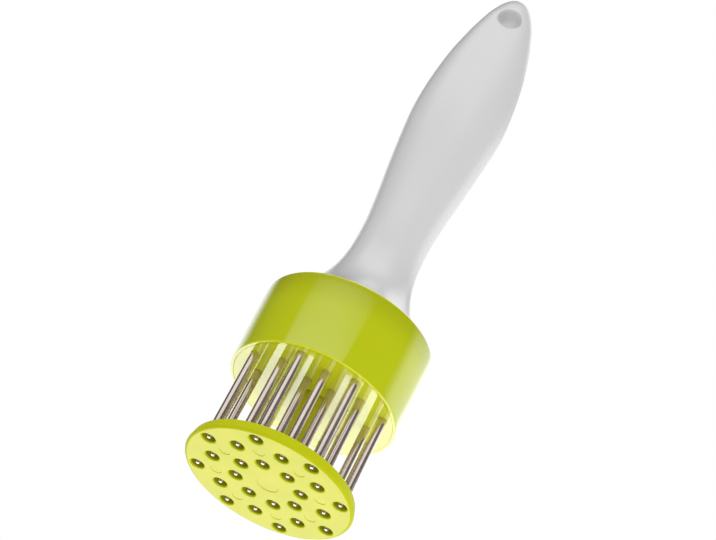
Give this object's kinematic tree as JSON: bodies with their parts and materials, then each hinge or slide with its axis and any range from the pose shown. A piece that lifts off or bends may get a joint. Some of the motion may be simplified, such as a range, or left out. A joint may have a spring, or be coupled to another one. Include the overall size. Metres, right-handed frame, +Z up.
{
  "type": "meat tenderizer",
  "caption": "Hand press with a flattened handle, a round head full of pointed steel needles and a sprung guard disc that slides up them.",
  "frame": {"origin": "centre of the guard disc's lower face, on which the tool stands; bottom centre of the bounding box", "axes": "+Z runs up the tool's centre line towards the handle's tip; the handle's wide faces look along -Y and +Y"},
  "size_m": [0.0514, 0.0514, 0.195],
  "materials": {
    "green_plastic": "moulded lime-green plastic, glossy, with a slight sheen",
    "white_plastic": "moulded white plastic, satin gloss",
    "inner_plastic": "plain natural plastic, inside the head",
    "stainless_steel": "drawn and polished stainless steel needle",
    "spring_steel": "drawn spring wire",
    "zinc_steel": "zinc-plated screws and washer"
  },
  "bodies": {
    "tool": {"return_spring": "spring_steel", "needle_plate": "green_plastic", "backing_plate": "inner_plastic", "head_shell": "green_plastic", "handle": "white_plastic", "needle_01": "stainless_steel", "needle_02": "stainless_steel", "needle_03": "stainless_steel", "needle_04": "stainless_steel", "needle_05": "stainless_steel", "needle_06": "stainless_steel", "needle_07": "stainless_steel", "needle_08": "stainless_steel", "needle_09": "stainless_steel", "needle_10": "stainless_steel", "needle_11": "stainless_steel", "needle_12": "stainless_steel", "needle_13": "stainless_steel", "needle_14": "stainless_steel", "needle_15": "stainless_steel", "needle_16": "stainless_steel", "needle_17": "stainless_steel", "needle_18": "stainless_steel", "needle_19": "stainless_steel", "needle_20": "stainless_steel", "needle_21": "stainless_steel", "needle_22": "stainless_steel", "needle_23": "stainless_steel", "needle_24": "stainless_steel", "clamp_screw_1": "zinc_steel", "clamp_screw_2": "zinc_steel", "clamp_screw_3": "zinc_steel", "clamp_screw_4": "zinc_steel"},
    "guard": {"guard_disc": "green_plastic", "guide_post": "green_plastic", "stop_washer": "zinc_steel", "post_screw": "zinc_steel"}
  },
  "joints": [
    {"name": "guard_slide", "type": "slide", "parent": "tool", "child": "guard", "axis": [0, 0, 1], "range_m": [0, 0.0261], "stiffness_N_per_m": 250, "springref_m": -0.012, "deforming": ["return_spring"]}
  ]
}
